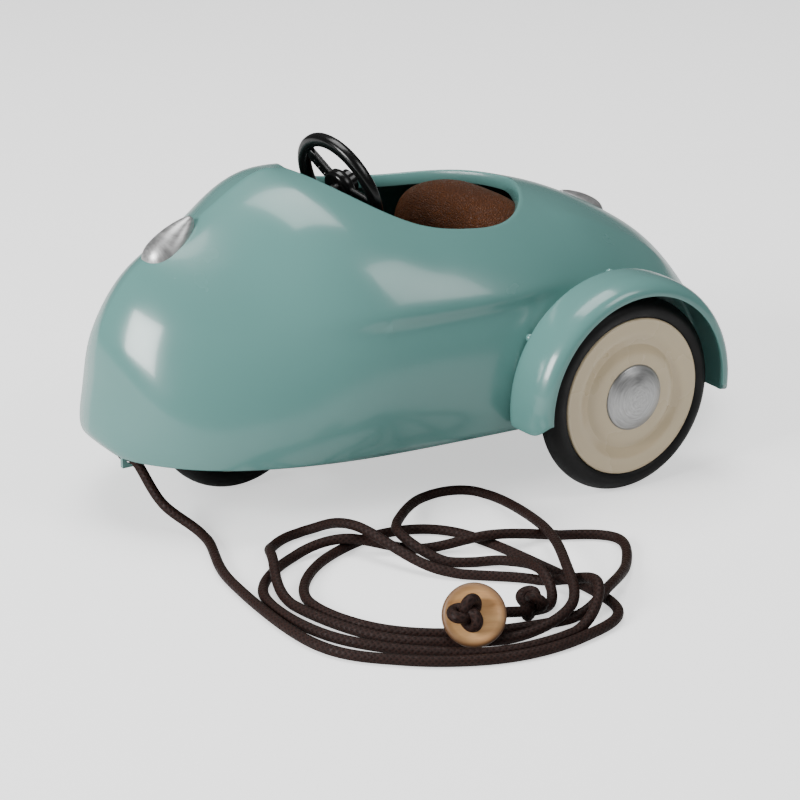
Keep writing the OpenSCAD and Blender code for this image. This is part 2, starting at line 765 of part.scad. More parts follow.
// The wooden button on the cord's end, leaning on the ground with its face towards the left
module at_button() {
    translate([86, -42.5, (button_d * cos(button_lean) + button_t * sin(button_lean)) / 2])
        rotate([0, 90 - button_lean, -30]) children();
}

module cord_button() {
    color("#c9a06c") at_button() difference() {
        cylinder(r = button_d / 2, h = button_t, center = true);
        for (x = [-1.6, 1.6]) translate([x, 0, 0]) cylinder(r = 0.9, h = button_t + 2, center = true);
    }
}

module button_knot() {
    at_button() translate([0, 0, button_t / 2 + 1]) knot(1.5);
}

body_shell();
fender(1);  // fender_left
fender(-1);  // fender_right
fender_rivets();
headlamp();
tail_lamp();
floor_pan();
mounting_tabs();
floor_screws();
tow_tab();
tow_rivet();
rear_axle();
rear_bracket(1);  // rear_bracket_left
rear_bracket(-1);  // rear_bracket_right
rear_spacers();
rear_push_nuts();
front_axle();
front_bracket(1);  // front_bracket_left
front_bracket(-1);  // front_bracket_right
front_spacers();
front_push_nuts();
at_rear_wheel(1) tyre(rear_tyre_r);  // rear_left_tyre
at_rear_wheel(1) wheel_disc(rear_disc_r);  // rear_left_outer_disc
at_rear_wheel(1) mirror([1, 0, 0]) wheel_disc(rear_disc_r);  // rear_left_inner_disc
at_rear_wheel(1) wheel_hub();  // rear_left_hub
at_rear_wheel(1) hub_cap();  // rear_left_hub_cap
at_rear_wheel(-1) tyre(rear_tyre_r);  // rear_right_tyre
at_rear_wheel(-1) wheel_disc(rear_disc_r);  // rear_right_outer_disc
at_rear_wheel(-1) mirror([1, 0, 0]) wheel_disc(rear_disc_r);  // rear_right_inner_disc
at_rear_wheel(-1) wheel_hub();  // rear_right_hub
at_rear_wheel(-1) hub_cap();  // rear_right_hub_cap
at_front_axle() tyre(front_tyre_r);  // front_tyre
at_front_axle() wheel_disc(front_disc_r);  // front_left_disc
at_front_axle() mirror([1, 0, 0]) wheel_disc(front_disc_r);  // front_right_disc
at_front_axle() wheel_hub();  // front_hub
steering_wheel();
steering_shaft();
steering_nut();
shaft_collar();
column_bush();
column_bracket();
seat_base();
seat_cushion();
seat_back();
seat_rivets();
pull_cord();
tow_knot();
end_knot();
cord_button();
button_knot();
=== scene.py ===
from math import cos, exp, pi, radians, sin, tanh

import bmesh
import bpy
import numpy as np
from mathutils import Matrix, Vector


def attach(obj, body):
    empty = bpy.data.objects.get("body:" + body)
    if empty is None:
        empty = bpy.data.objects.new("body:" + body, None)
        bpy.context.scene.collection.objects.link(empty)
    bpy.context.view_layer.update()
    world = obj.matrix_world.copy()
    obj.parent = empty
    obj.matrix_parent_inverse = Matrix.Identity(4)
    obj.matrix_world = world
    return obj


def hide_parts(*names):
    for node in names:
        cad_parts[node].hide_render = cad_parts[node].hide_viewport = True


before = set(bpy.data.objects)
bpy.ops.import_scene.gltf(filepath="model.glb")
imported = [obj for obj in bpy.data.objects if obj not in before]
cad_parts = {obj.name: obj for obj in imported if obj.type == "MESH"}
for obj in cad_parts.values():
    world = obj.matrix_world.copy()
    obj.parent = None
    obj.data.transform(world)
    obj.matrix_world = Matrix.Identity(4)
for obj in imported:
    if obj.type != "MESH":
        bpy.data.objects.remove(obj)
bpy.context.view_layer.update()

MM = 0.001

# ---------------------------------------------------------------- camera and the shared sizes

# the camera's turn round Z and its height over the floor, both as angles in degrees
VIEW_TURN = 56.986
VIEW_ELEVATION = 20.68
CAMERA_PLACE = (369.3, -242.0, 176.4)
LENS = 99.0
SENSOR_W = 36
NEAR_CLIP = 0.01

SILL_Z = 15.0
SHELL_WALL = 1.0
LIP_DEPTH = 2.4
COCKPIT_FRONT, COCKPIT_REAR, COCKPIT_HALF_W = -29.5, 25.5, 24.2
COCKPIT_MIDDLE = (COCKPIT_FRONT + COCKPIT_REAR) / 2
COCKPIT_HALF_LEN = (COCKPIT_REAR - COCKPIT_FRONT) / 2

REAR_AXLE = Vector((0, 23.5, 20.4))
FRONT_AXLE = Vector((0, -42.5, 17.9))
HALF_TRACK = 44.0
TYRE_W = 6.2
TYRE_DEPTH = 3.9


def make_camera():
    data = bpy.data.cameras.new("camera")
    data.lens = LENS
    data.sensor_width = SENSOR_W
    data.clip_start = NEAR_CLIP
    camera = bpy.data.objects.new("camera", data)
    camera.location = Vector(CAMERA_PLACE) * MM
    camera.rotation_euler = (radians(90 - VIEW_ELEVATION), 0, radians(VIEW_TURN))
    bpy.context.scene.collection.objects.link(camera)
    bpy.context.scene.camera = camera


make_camera()

# ---------------------------------------------------------------- mesh helpers


def mesh_object(name, points, faces):
    """A new object with smooth faces, from points in millimetres."""
    mesh = bpy.data.meshes.new(name)
    mesh.from_pydata([tuple(Vector(p) * MM) for p in points], [], faces)
    mesh.update()
    bm = bmesh.new()
    bm.from_mesh(mesh)
    bmesh.ops.remove_doubles(bm, verts=bm.verts, dist=0.00001)
    bmesh.ops.recalc_face_normals(bm, faces=bm.faces)
    bm.to_mesh(mesh)
    bm.free()
    for polygon in mesh.polygons:
        polygon.use_smooth = True
    thing = bpy.data.objects.new(name, mesh)
    bpy.context.scene.collection.objects.link(thing)
    return thing


def active(thing):
    bpy.ops.object.select_all(action="DESELECT")
    thing.select_set(True)
    bpy.context.view_layer.objects.active = thing


def modifier(thing, kind, **settings):
    """Adds a modifier and applies it."""
    active(thing)
    made = thing.modifiers.new(kind.lower(), kind)
    for key, value in settings.items():
        setattr(made, key, value)
    bpy.ops.object.modifier_apply(modifier=made.name)
    return thing


def placed(thing, matrix):
    """Moves the mesh itself, so that the object stays at the origin."""
    thing.data.transform(matrix)
    thing.data.update()
    return thing


def finish_piece(thing, body, material, slot, *replaced):
    thing.data.materials.clear()
    thing.data.materials.append(material)
    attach(thing, body)
    if replaced:
        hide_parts(*replaced)
    return thing


def join(name, *things):
    active(things[0])
    for thing in things:
        thing.select_set(True)
    bpy.ops.object.join()
    things[0].name = name
    return things[0]


def grid_faces(rows, columns, closed_rows=False, closed_columns=False):
    faces = []
    for i in range(rows if closed_rows else rows - 1):
        for j in range(columns if closed_columns else columns - 1):
            a, b = i, (i + 1) % rows
            c, d = j, (j + 1) % columns
            faces.append((a * columns + c, b * columns + c, b * columns + d, a * columns + d))
    return faces


def lathe(name, profile, steps=96, closed=False):
    """Turns a profile of (radius, place along X) round the X axis with the Spin tool."""
    mesh = bpy.data.meshes.new(name)
    count = len(profile)
    edges = [(i, (i + 1) % count) for i in range(count if closed else count - 1)]
    mesh.from_pydata([(x * MM, 0, r * MM) for r, x in profile], edges, [])
    thing = bpy.data.objects.new(name, mesh)
    bpy.context.scene.collection.objects.link(thing)
    active(thing)
    bpy.ops.object.mode_set(mode="EDIT")
    bpy.ops.mesh.select_all(action="SELECT")
    bpy.ops.mesh.spin(steps=steps, angle=2 * pi, center=(0, 0, 0), axis=(1, 0, 0))
    bpy.ops.mesh.select_all(action="SELECT")
    bpy.ops.mesh.remove_doubles(threshold=0.000004)
    bpy.ops.mesh.normals_make_consistent(inside=False)
    bpy.ops.object.mode_set(mode="OBJECT")
    for polygon in mesh.polygons:
        polygon.use_smooth = True
    return thing


def arc(centre_r, centre_x, radius, start, end, steps):
    """Points of a round stretch of a lathe profile, by angles from the outward direction."""
    return [
        (centre_r + radius * cos(radians(start + (end - start) * k / steps)),
         centre_x + radius * sin(radians(start + (end - start) * k / steps)))
        for k in range(steps + 1)
    ]


def signed_power(x, power):
    """x to a power, with the sign of x."""
    return (abs(x) ** power) * (1 if x > 0 else -1)


# ---------------------------------------------------------------- materials


class Material:
    """A node tree with short ways to add nodes and links."""

    def __init__(self, name, **shader):
        self.data = bpy.data.materials.new(name)
        self.data.use_nodes = True
        self.nodes = self.data.node_tree.nodes
        self.links = self.data.node_tree.links
        self.shader = self.nodes["Principled BSDF"]
        self.space = self.node("ShaderNodeTexCoord").outputs["Object"]
        for key, value in shader.items():
            self.set(key.replace("_", " "), value)

    def node(self, kind, **settings):
        made = self.nodes.new(kind)
        for key, value in settings.items():
            setattr(made, key, value)
        return made

    def set(self, socket, value):
        self.feed(self.shader.inputs[socket], value)

    def feed(self, socket, value):
        if isinstance(value, bpy.types.NodeSocket):
            self.links.new(value, socket)
        elif isinstance(value, tuple) and len(value) == 3 and socket.type == "RGBA":
            socket.default_value = (*value, 1)
        else:
            socket.default_value = value

    def noise(self, scale, detail=4, roughness=0.5, space=None):
        made = self.node("ShaderNodeTexNoise")
        self.feed(made.inputs["Vector"], space or self.space)
        self.feed(made.inputs["Scale"], scale)
        self.feed(made.inputs["Detail"], detail)
        self.feed(made.inputs["Roughness"], roughness)
        return made.outputs["Fac"]

    def cells(self, scale, feature):
        made = self.node("ShaderNodeTexVoronoi", feature=feature)
        self.feed(made.inputs["Vector"], self.space)
        self.feed(made.inputs["Scale"], scale)
        return made.outputs["Distance"]

    def ramp(self, value, low, high, to_low, to_high):
        made = self.node("ShaderNodeMapRange")
        for key, number in (("Value", value), ("From Min", low), ("From Max", high),
                            ("To Min", to_low), ("To Max", to_high)):
            self.feed(made.inputs[key], number)
        return made.outputs["Result"]

    def mix(self, factor, a, b):
        made = self.node("ShaderNodeMix", data_type="RGBA")
        self.feed(made.inputs[0], factor)
        self.feed(made.inputs[6], a)
        self.feed(made.inputs[7], b)
        return made.outputs[2]

    def maths(self, operation, a, b=0.0, c=0.0):
        made = self.node("ShaderNodeMath", operation=operation)
        for socket, value in zip(made.inputs, (a, b, c)):
            self.feed(socket, value)
        return made.outputs[0]

    def axes(self):
        made = self.node("ShaderNodeSeparateXYZ")
        self.feed(made.inputs[0], self.space)
        return made.outputs

    def bump(self, height, strength, distance, normal=None):
        made = self.node("ShaderNodeBump")
        self.feed(made.inputs["Height"], height)
        self.feed(made.inputs["Strength"], strength)
        self.feed(made.inputs["Distance"], distance)
        if normal:
            self.feed(made.inputs["Normal"], normal)
        self.set("Normal", made.outputs["Normal"])
        return made.outputs["Normal"]


def enamel(name, light, dark, roughness=0.22):
    """Baked enamel: a slow change of colour and a faint orange peel."""
    m = Material(name, Roughness=roughness, Specular_IOR_Level=0.4,
                 Coat_Weight=0.3, Coat_Roughness=0.08)
    cloud = m.ramp(m.noise(18, 3), 0.35, 0.65, 0, 1)
    m.set("Base Color", m.mix(cloud, light, dark))
    m.set("Roughness", m.ramp(m.noise(60, 4), 0.3, 0.7, roughness - 0.04, roughness + 0.06))
    m.bump(m.noise(90, 2), 0.12, 0.0004)
    return m.data


def silver_paint(name, centre, axis):
    """Silver with fine rings round the X or Y axis through a centre in metres."""
    m = Material(name, Metallic=0.75, Roughness=0.36)
    places = m.axes()
    across = {"X": 1, "Y": 0}[axis]
    first = m.maths("SUBTRACT", places[across], centre[across])
    second = m.maths("SUBTRACT", places[2], centre[2])
    radius = m.maths("SQRT", m.maths("ADD", m.maths("MULTIPLY", first, first),
                                     m.maths("MULTIPLY", second, second)))
    angle = m.maths("ARCTAN2", second, first)
    combine = m.node("ShaderNodeCombineXYZ")
    m.feed(combine.inputs[0], m.maths("MULTIPLY", radius, 2600.0))
    m.feed(combine.inputs[1], m.maths("MULTIPLY", angle, 1.6))
    rings = m.noise(1.0, 3, 0.6, combine.outputs[0])
    tone = m.ramp(rings, 0.3, 0.7, 0, 1)
    m.set("Base Color", m.mix(tone, (0.30, 0.30, 0.30), (0.50, 0.50, 0.50)))
    m.set("Roughness", m.ramp(rings, 0.3, 0.7, 0.3, 0.46))
    m.bump(rings, 0.25, 0.0001)
    return m.data


def rubber(name):
    m = Material(name, Roughness=0.5, Specular_IOR_Level=0.2)
    m.set("Base Color", m.mix(m.noise(120, 4), (0.0035, 0.0035, 0.0035), (0.008, 0.008, 0.008)))
    m.set("Roughness", m.ramp(m.noise(260, 3), 0.3, 0.7, 0.42, 0.58))
    m.bump(m.noise(1500, 3), 0.2, 0.00005)
    return m.data


def black_gloss(name):
    m = Material(name, Roughness=0.2, Specular_IOR_Level=0.35)
    m.set("Base Color", m.mix(m.noise(150, 3), (0.002, 0.002, 0.002), (0.005, 0.005, 0.005)))
    m.set("Roughness", m.ramp(m.noise(400, 3), 0.3, 0.7, 0.16, 0.3))
    m.bump(m.noise(500, 3), 0.15, 0.0001)
    return m.data


def plated(name):
    m = Material(name, Metallic=1.0, Roughness=0.35)
    m.set("Base Color", m.mix(m.noise(300, 4), (0.38, 0.38, 0.38), (0.55, 0.55, 0.54)))
    m.bump(m.noise(900, 3), 0.15, 0.0001)
    return m.data


def nylon(name):
    m = Material(name, Roughness=0.5)
    m.set("Base Color", m.mix(m.noise(200, 3), (0.62, 0.59, 0.52), (0.74, 0.71, 0.64)))
    m.bump(m.noise(700, 3), 0.1, 0.0001)
    return m.data


def hide(name):
    """Tan leather: pebbled grain with fine creases."""
    m = Material(name, Roughness=0.5, Specular_IOR_Level=0.22)
    grain = m.cells(1900, "DISTANCE_TO_EDGE")
    pebble = m.ramp(grain, 0.0, 0.28, 0, 1)
    cloud = m.ramp(m.noise(70, 4), 0.3, 0.7, 0, 1)
    tone = m.mix(cloud, (0.062, 0.018, 0.003), (0.105, 0.032, 0.007))
    m.set("Base Color", m.mix(pebble, (0.040, 0.011, 0.002), tone))
    m.set("Roughness", m.ramp(m.noise(800, 3), 0.3, 0.7, 0.38, 0.6))
    soft = m.bump(m.noise(260, 4), 0.25, 0.0004)
    m.bump(pebble, 0.9, 0.0002, soft)
    return m.data


STRANDS_PER_METRE = 900.0
STRANDS_ROUND = 6.0


def braid(name):
    """Waxed braid: strands that cross along the cord, by the tube's own UV."""
    m = Material(name, Roughness=0.6, Specular_IOR_Level=0.12)
    uv = m.node("ShaderNodeTexCoord").outputs["UV"]
    split = m.node("ShaderNodeSeparateXYZ")
    m.feed(split.inputs[0], uv)
    along, around = split.outputs[0], split.outputs[1]
    heights = []
    for way in (1.0, -1.0):
        turns = m.maths("ADD", m.maths("MULTIPLY", along, STRANDS_PER_METRE),
                        m.maths("MULTIPLY", around, STRANDS_ROUND * way))
        heights.append(m.maths("SINE", m.maths("MULTIPLY", turns, 2 * pi)))
    weave = m.maths("MAXIMUM", heights[0], heights[1])
    tone = m.mix(m.noise(500, 4), (0.013, 0.006, 0.005), (0.030, 0.014, 0.011))
    m.set("Base Color", m.mix(m.ramp(weave, -0.2, 1.0, 0, 1), (0.010, 0.005, 0.004), tone))
    m.set("Roughness", m.ramp(m.noise(900, 3), 0.3, 0.7, 0.42, 0.7))
    m.bump(weave, 0.35, 0.0001)
    return m.data


def wood(name, centre):
    """Light wood with a scorched edge."""
    m = Material(name, Roughness=0.5)
    stretch = m.node("ShaderNodeMapping")
    m.feed(stretch.inputs["Vector"], m.space)
    stretch.inputs["Scale"].default_value = (180, 60, 900)
    grain = m.noise(1.0, 5, 0.6, stretch.outputs[0])
    tone = m.mix(m.ramp(grain, 0.3, 0.7, 0, 1), (0.42, 0.21, 0.08), (0.60, 0.35, 0.15))
    far = m.node("ShaderNodeVectorMath", operation="DISTANCE")
    m.feed(far.inputs[0], m.space)
    far.inputs[1].default_value = centre
    edge = m.ramp(far.outputs["Value"], 0.0043, 0.0057, 0, 1)
    m.set("Base Color", m.mix(edge, tone, (0.09, 0.04, 0.015)))
    m.set("Roughness", m.ramp(grain, 0.3, 0.7, 0.4, 0.6))
    m.bump(grain, 0.3, 0.0001)
    return m.data


BODY_ENAMEL = enamel("petrol_enamel", (0.094, 0.220, 0.203), (0.086, 0.205, 0.189))
CREAM = enamel("cream_enamel", (0.50, 0.41, 0.27), (0.46, 0.375, 0.245), 0.28)
TYRE_RUBBER = rubber("tyre_rubber")
GLOSS_BLACK = black_gloss("gloss_black")
PLATED = plated("zinc_plated")
NYLON = nylon("natural_nylon")
LEATHER = hide("tan_leather")
CORD_BRAID = braid("waxed_braid")

# ---------------------------------------------------------------- the pull cord

# the cord's middle line, from the tow tab's hole to the end knot
CORD_ROUTE = [
    (-1.8, -65.9, 11.2), (3.5, -66.1, 10.8), (12, -65.2, 5.2), (22, -61.5, 1),
    (42, -66.9, 1), (72, -67.1, 1), (86, -57.5, 1),
    (95, -42, 1), (96, -26, 1), (90, -13.8, 1), (68, -14.6, 1), (46.5, -19.6, 1), (39.5, -32, 1),
    (44.5, -49, 1), (56.5, -59, 1), (72, -55.5, 1), (83, -43.5, 1), (89, -24, 1), (86, -12.8, 3.2),
    (76, -0.5, 1), (66, 5.2, 1), (59, -3, 1), (55.5, -17, 3.2), (49.2, -29.8, 1),
    (41.6, -41.8, 3.2), (39.5, -52, 1), (51, -64.8, 1), (73, -62.5, 1), (91, -45, 1),
    (93.7, -26, 1), (86.5, -15.8, 5.4), (73, -18.8, 1), (59.5, -32.5, 1.5), (42, -39.7, 5.6),
    (31, -43.5, 1.5), (33, -52.5, 1), (42.3, -58, 3.6), (57, -62.3, 1), (78, -54.9, 1),
    (89.3, -38, 1), (88.8, -23.5, 3.3), (77, -15.8, 5.5), (58, -7.2, 3.9), (34, -3.8, 1),
    (28.8, -14.5, 1), (39.8, -28.2, 3.3), (47.6, -32.4, 3.7), (57, -28.5, 1), (63.5, -20, 1.6),
    (74.5, -19.4, 3.8), (83, -24, 1.2), (85.5, -39.5, 4.8),
]
CORD_R = 1.0
CORD_SIDES = 14
CORD_RINGS_PER_SPAN = 12


def between(a, b, c, d, u):
    return 0.5 * (2 * b + (c - a) * u + (2 * a - 5 * b + 4 * c - d) * u * u
                  + (3 * b - a - 3 * c + d) * u ** 3)


def along(rows, t):
    """A place on the Catmull-Rom curve through the rows, t rows from its start."""
    n = len(rows)
    i = min(int(t), n - 2)
    before = rows[i - 1] if i > 0 else 2 * rows[0] - rows[1]
    after = rows[i + 2] if i + 2 < n else 2 * rows[-1] - rows[-2]
    return between(before, rows[i], rows[i + 1], after, t - i)


def tube(name, path, radius, sides):
    """A closed tube along a path, with UV along and around it."""
    path = [Vector(p) for p in path]
    points, run, lengths = [], 0.0, []
    level = Vector((0, 0, 1))
    for i, p in enumerate(path):
        ahead = path[min(i + 1, len(path) - 1)] - path[max(i - 1, 0)]
        ahead.normalize()
        aside = level.cross(ahead).normalized()
        above = ahead.cross(aside)
        if i:
            run += (p - path[i - 1]).length
        lengths.append(run)
        for k in range(sides):
            a = 2 * pi * k / sides
            points.append(p + radius * (aside * cos(a) + above * sin(a)))
    rings = len(path)
    faces = grid_faces(rings, sides, closed_columns=True)
    faces.append(tuple(range(sides - 1, -1, -1)))
    faces.append(tuple((rings - 1) * sides + k for k in range(sides)))
    mesh = bpy.data.meshes.new(name)
    mesh.from_pydata([tuple(p * MM) for p in points], [], faces)
    uv = mesh.uv_layers.new(name="along")
    for polygon in mesh.polygons:
        polygon.use_smooth = len(polygon.vertices) == 4
        if len(polygon.vertices) != 4:
            continue
        for loop in polygon.loop_indices:
            ring, side = divmod(mesh.loops[loop].vertex_index, sides)
            seam = side == 0 and any(mesh.loops[k].vertex_index % sides == sides - 1
                                     for k in polygon.loop_indices)
            uv.data[loop].uv = (lengths[ring] * MM, 1.0 if seam else side / sides)
    mesh.update()
    thing = bpy.data.objects.new(name, mesh)
    bpy.context.scene.collection.objects.link(thing)
    return thing


def cord_path():
    rows = [Vector(p) for p in CORD_ROUTE]
    spans = (len(rows) - 1) * CORD_RINGS_PER_SPAN
    path = [along(rows, (len(rows) - 1.0001) * k / spans) for k in range(spans + 1)]
    for p in path:
        p.z = max(p.z, CORD_R)
    return path


def overhand_knot(name, centre, size, turn):
    """A pulled-tight knot: a thick strand wound round itself."""
    steps = 96
    path = []
    for k in range(steps + 1):
        a = 2 * pi * k / steps
        path.append((
            size * (0.42 * sin(a) + 0.62 * sin(2 * a)),
            size * (0.42 * cos(a) - 0.62 * cos(2 * a)),
            size * -0.45 * sin(3 * a),
        ))
    knot = tube(name, path, size * 0.42, 12)
    place = Matrix.Translation(Vector(centre) * MM) @ turn
    return placed(knot, place)


BUTTON_R = 5.7
BUTTON_T = 2.4
BUTTON_LEAN = 30
BUTTON_RIM = 0.7
BUTTON_HOLE_R = 0.95
BUTTON_HOLE_PLACE = 1.6
# it stands on its edge, so its middle is as high as the lean puts it
BUTTON_PLACE = Vector((86, -42.5, BUTTON_R * cos(radians(BUTTON_LEAN))
                       + BUTTON_T * sin(radians(BUTTON_LEAN)) / 2))
BUTTON_TURN = (Matrix.Rotation(radians(-30), 4, "Z")
               @ Matrix.Rotation(radians(90 - BUTTON_LEAN), 4, "Y"))


def make_button():
    """A two-holed button with rounded rims and a shallow dished face."""
    half = BUTTON_T / 2
    profile = [(0.01, half - 0.35), (3.9, half - 0.35), (4.6, half - 0.05)]
    profile += arc(BUTTON_R - BUTTON_RIM, half - BUTTON_RIM, BUTTON_RIM, 90, 0, 5)
    profile += arc(BUTTON_R - BUTTON_RIM, -half + BUTTON_RIM, BUTTON_RIM, 0, -90, 5)
    profile += [(0.01, -half)]
    button = lathe("cord_button_wood", profile, 64)
    placed(button, Matrix.Rotation(radians(-90), 4, "Y"))
    for side in (-1, 1):
        bpy.ops.mesh.primitive_cylinder_add(vertices=32, radius=BUTTON_HOLE_R * MM, depth=8 * MM,
                                            location=(side * BUTTON_HOLE_PLACE * MM, 0, 0))
        drill = bpy.context.object
        modifier(button, "BOOLEAN", operation="DIFFERENCE", object=drill, solver="EXACT")
        bpy.data.objects.remove(drill)
    active(button)
    bpy.ops.object.shade_smooth_by_angle(angle=radians(40))
    return placed(button, Matrix.Translation(BUTTON_PLACE * MM) @ BUTTON_TURN)


def make_cord():
    path = cord_path()
    cord = tube("pull_cord_braid", path, CORD_R, CORD_SIDES)
    finish_piece(cord, "chassis", CORD_BRAID, "cord", "pull_cord")
    tow = overhand_knot("tow_knot_braid", (-1.9, -65.9, 11.2), 1.35,
                        Matrix.Rotation(radians(90), 4, "Y"))
    end = overhand_knot("end_knot_braid", (83.9, -28.5, 3.4), 2.4,
                        Matrix.Rotation(radians(75), 4, "X"))
    face_knot = overhand_knot("button_knot_braid", (0, 0, 0), 2.5, Matrix.Identity(4))
    placed(face_knot, Matrix.Translation(BUTTON_PLACE * MM) @ BUTTON_TURN
           @ Matrix.Translation(Vector((-0.2, -1.4, 2.9)) * MM))
    button = make_button()
    for knot, node in ((tow, "tow_knot"), (end, "end_knot"), (face_knot, "button_knot")):
        finish_piece(knot, "chassis", CORD_BRAID, "cord", node)
    finish_piece(button, "chassis", wood("button_wood", tuple(BUTTON_PLACE * MM)),
                 "wood", "cord_button")


make_cord()

# ---------------------------------------------------------------- the body's form

# [half width at the lower edge, its place along Y, the crown's place, the crown's rise]
HOOPS = np.array([
    [0, -72.3, -72.4, 0],
    [9.5, -71.4, -74.6, 4],
    [18, -66, -73.2, 13.2],
    [25, -58, -71, 24.4],
    [30, -48, -63.5, 34.6],
    [33.5, -36.5, -49.6, 42],
    [35.5, -24.5, -33.5, 50],
    [37, -8.5, -12, 47.5],
    [38, 7.5, 5.5, 44.5],
    [37.5, 23.5, 26, 40],
    [35, 37.5, 40, 35],
    [30.5, 50.5, 55, 26.5],
    [23, 62.5, 65.5, 16.5],
    [12, 72, 72.6, 7.5],
    [0, 74.7, 74.7, 0],
], float)
# [exponent of the width, exponent of the height, bulge], from nose to tail
FORM = np.array([
    [1.25, 0.95, -0.07],
    [1.4, 1.35, 0.03],
    [1.05, 0.92, 0.12],
    [0.92, 1.2, 0.02],
    [1.25, 1.35, -0.08],
], float)
LAST_HOOP = len(HOOPS) - 1


def plain_point(t, a):
    """A point of the plain body: t hoops from the nose, a degrees up the hoop."""
    hoop = along(HOOPS, t)
    form = along(FORM, t * (len(FORM) - 1) / LAST_HOOP)
    a = radians(a)
    rise = sin(a) ** form[1] if a > 0 else 0.0
    width = max(0.0, cos(a)) ** form[0] + form[2] * sin(2 * a)
    return Vector((max(0.0, hoop[0] * width),
                   hoop[1] + (hoop[2] - hoop[1]) * rise,
                   SILL_Z + hoop[3] * rise))


def ease(x, low, high):
    """A smooth step from 0 at low to 1 at high."""
    u = min(1.0, max(0.0, (x - low) / (high - low)))
    return u * u * (3 - 2 * u)


def body_point(t, a):
    """The body's point with its pressed creases."""
    p = plain_point(t, a)
    # a crease along each side that runs back into the fender
    reach = ease(p.y, -45, -22) * (1 - ease(p.y, 8, 26))
    step = tanh((p.z - 41) / 1.3) * exp(-abs(p.z - 41) / 8)
    p.x += 0.75 * reach * step * ease(p.x, 12, 24)
    # a soft spine on the hood
    spine = ease(p.y, -54, -47) * (1 - ease(p.y, -34, -30))
    p.z += 0.8 * spine * exp(-abs(p.x) / 3.0)
    # a shoulder line on each side of the tail
    shoulder = ease(p.y, 20, 30) * (1 - ease(p.y, 50, 60))
    line = 19 - 0.06 * (p.y - 24)
    p.z += 0.55 * shoulder * exp(-abs(p.x - line) / 3.2)
    return p


def opening_half_w(y):
    """The cockpit's half width at a place along the car."""
    u = (y - COCKPIT_MIDDLE) / COCKPIT_HALF_LEN
    if abs(u) >= 1:
        return 0.0
    return COCKPIT_HALF_W * (1 - abs(u) ** 2.4) ** (0.75 if u < 0 else 0.78)


def halve(low, high, is_low):
    """The value between low and high where is_low stops being true, by bisection."""
    for _ in range(24):
        middle = (low + high) / 2
        if is_low(middle):
            low = middle
        else:
            high = middle
    return (low + high) / 2


COCKPIT_FIRST = halve(4, 8, lambda t: along(HOOPS, t)[2] < COCKPIT_FRONT)
COCKPIT_LAST = halve(7, 12, lambda t: along(HOOPS, t)[2] < COCKPIT_REAR)


def edge_angle(t):
    """How far up the hoop, in degrees, the cockpit's edge lies."""
    def outside(a):
        p = plain_point(t, a)
        return p.x > opening_half_w(p.y)
    return halve(10, 90, outside)


SECTION = 56                # steps up one hoop
SHELL_END = 0.12            # how far from the first and the last hoop the sheet stops, in hoops
HOOPS_AHEAD, HOOPS_OPEN, HOOPS_BEHIND = 60, 90, 60
LIP_STEPS = 5
LIP_ROLL = 0.55
LIP_LEAN = 0.9
ON_MIRROR = 0.02            # points nearer the middle plane than this are put on it
SHEET_T = SHELL_WALL * 0.8  # thinner than the CAD's wall, so that the inside stays clear


def make_body():
    """One half of the pressed shell as a sheet, mirrored, then thickened inwards."""
    ahead, opening, behind = HOOPS_AHEAD, HOOPS_OPEN, HOOPS_BEHIND
    open_len = COCKPIT_LAST - COCKPIT_FIRST
    tail_len = LAST_HOOP - SHELL_END - COCKPIT_LAST
    places = [SHELL_END + (COCKPIT_FIRST - SHELL_END) * k / ahead for k in range(ahead + 1)]
    places += [COCKPIT_FIRST + open_len * (1 - cos(pi * k / opening)) / 2
               for k in range(1, opening)]
    places += [COCKPIT_LAST + tail_len * k / behind for k in range(behind + 1)]
    row = SECTION + 1 + LIP_STEPS + 1
    points, faces = [], []
    for i, t in enumerate(places):
        is_open = ahead < i < ahead + opening
        top = edge_angle(t) if is_open else 90.0
        for j in range(SECTION + 1):
            points.append(body_point(t, top * j / SECTION))
        edge = points[-1]
        away = Vector((edge.x / COCKPIT_HALF_W ** 2,
                       (edge.y - COCKPIT_MIDDLE) / COCKPIT_HALF_LEN ** 2, 0))
        if away.length > 0:
            away.normalize()
        # the lip: a quarter roll inwards, then a short leaning wall
        for k in range(1, LIP_STEPS + 1):
            a = pi / 2 * k / LIP_STEPS
            points.append(edge - away * LIP_ROLL * sin(a) - Vector((0, 0, LIP_ROLL * (1 - cos(a)))))
        points.append(points[-1] - away * LIP_LEAN - Vector((0, 0, LIP_DEPTH - LIP_ROLL)))
    for i in range(len(places) - 1):
        has_lip = ahead <= i < ahead + opening
        for j in range(row - 1):
            if j < SECTION or has_lip:
                a, b = i * row + j, (i + 1) * row + j
                faces.append((a, b, b + 1, a + 1))
    for p in points:
        if p.x < ON_MIRROR:
            p.x = 0.0
    half = mesh_object("body_shell_enamel", points, faces)
    bm = bmesh.new()
    bm.from_mesh(half.data)
    loose = [v for v in bm.verts if not v.link_faces]
    bmesh.ops.delete(bm, geom=loose, context="VERTS")
    bm.to_mesh(half.data)
    bm.free()
    modifier(half, "MIRROR", use_axis=(True, False, False), merge_threshold=0.00004)
    active(half)
    bpy.ops.object.mode_set(mode="EDIT")
    bpy.ops.mesh.select_all(action="SELECT")
    bpy.ops.mesh.normals_make_consistent(inside=False)
    bpy.ops.object.mode_set(mode="OBJECT")
    highest = max(half.data.polygons, key=lambda polygon: polygon.center.z)
    if highest.normal.z < 0:
        half.data.flip_normals()
    modifier(half, "SOLIDIFY", thickness=SHEET_T * MM, offset=-1)
    return finish_piece(half, "chassis", BODY_ENAMEL, "enamel", "body_shell")


make_body()

